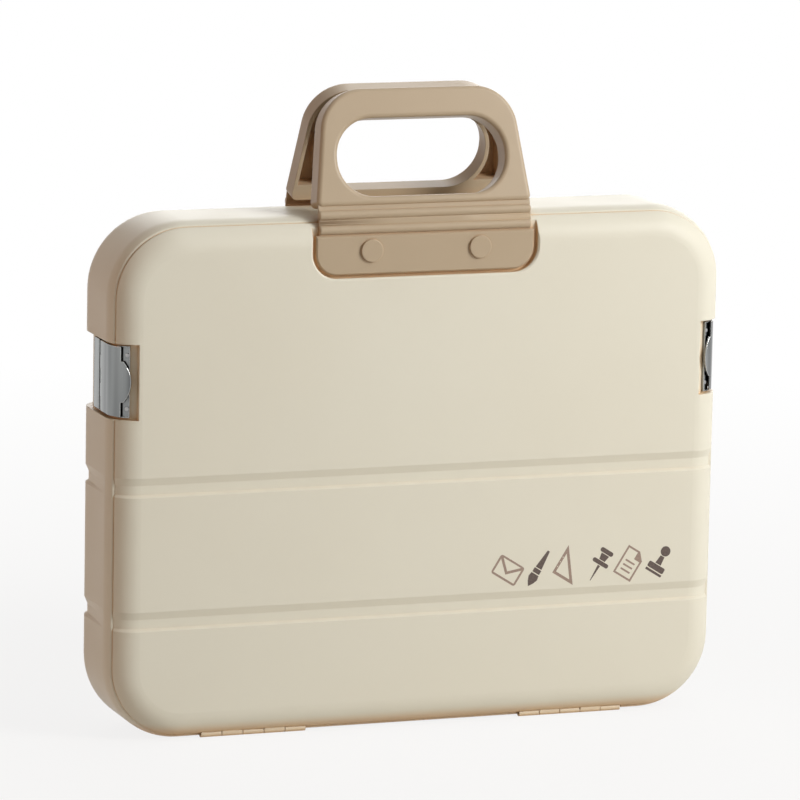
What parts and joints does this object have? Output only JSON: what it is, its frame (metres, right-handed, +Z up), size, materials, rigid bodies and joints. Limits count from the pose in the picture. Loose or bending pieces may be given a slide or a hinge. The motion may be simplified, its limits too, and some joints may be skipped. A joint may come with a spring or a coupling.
{
  "type": "document case",
  "caption": "Upright plastic document case with a shallow hinged lid, a carrying handle on each shell and a chrome snap latch in each side notch.",
  "frame": {"origin": "centre of the flat bottom that the case stands on, midway between the front and the rear studs", "axes": "+X to the right as seen from the front, +Y from the front lid to the rear shell, +Z up"},
  "size_m": [0.35, 0.063, 0.3489],
  "materials": {
    "case_plastic": "satin moulded cream polypropylene",
    "handle_plastic": "satin moulded beige brown polypropylene",
    "latch_chrome": "bright plated sheet steel",
    "pin_steel": "plain drawn wire and rivets"
  },
  "bodies": {
    "case": {"rear_shell": "case_plastic", "left_hinge_pin": "pin_steel", "right_hinge_pin": "pin_steel", "rear_handle_plate": "handle_plastic", "rear_handle_studs": "handle_plastic", "rear_handle_retainers": "handle_plastic", "left_latch_leaf": "latch_chrome", "right_latch_leaf": "latch_chrome", "left_latch_pin": "pin_steel", "right_latch_pin": "pin_steel", "left_leaf_rivets": "pin_steel", "right_leaf_rivets": "pin_steel"},
    "lid": {"front_shell": "case_plastic", "front_handle_plate": "handle_plastic", "front_handle_studs": "handle_plastic", "front_handle_retainers": "handle_plastic", "left_latch_keeper": "latch_chrome", "right_latch_keeper": "latch_chrome", "left_keeper_rivets": "pin_steel", "right_keeper_rivets": "pin_steel"},
    "front_grip": {"front_handle_grip": "handle_plastic"},
    "rear_grip": {"rear_handle_grip": "handle_plastic"},
    "left_latch": {"left_latch_lever": "latch_chrome"},
    "right_latch": {"right_latch_lever": "latch_chrome"}
  },
  "joints": [
    {"name": "lid_open", "type": "hinge", "parent": "case", "child": "lid", "pos_m": [0, -0.023, 0.002], "axis": [1, 0, 0], "range_deg": [0, 150]},
    {"name": "front_grip_fold", "type": "hinge", "parent": "lid", "child": "front_grip", "pos_m": [0, -0.028, 0.2795], "axis": [1, 0, 0], "range_deg": [0, 90]},
    {"name": "rear_grip_fold", "type": "hinge", "parent": "case", "child": "rear_grip", "pos_m": [0, 0.028, 0.2795], "axis": [-1, 0, 0], "range_deg": [0, 90]},
    {"name": "left_latch_open", "type": "hinge", "parent": "case", "child": "left_latch", "pos_m": [-0.17285, -0.0027, 0.1975], "axis": [0, 0, -1], "range_deg": [0, 120]},
    {"name": "right_latch_open", "type": "hinge", "parent": "case", "child": "right_latch", "pos_m": [0.17285, -0.0027, 0.1975], "axis": [0, 0, 1], "range_deg": [0, 120]}
  ]
}
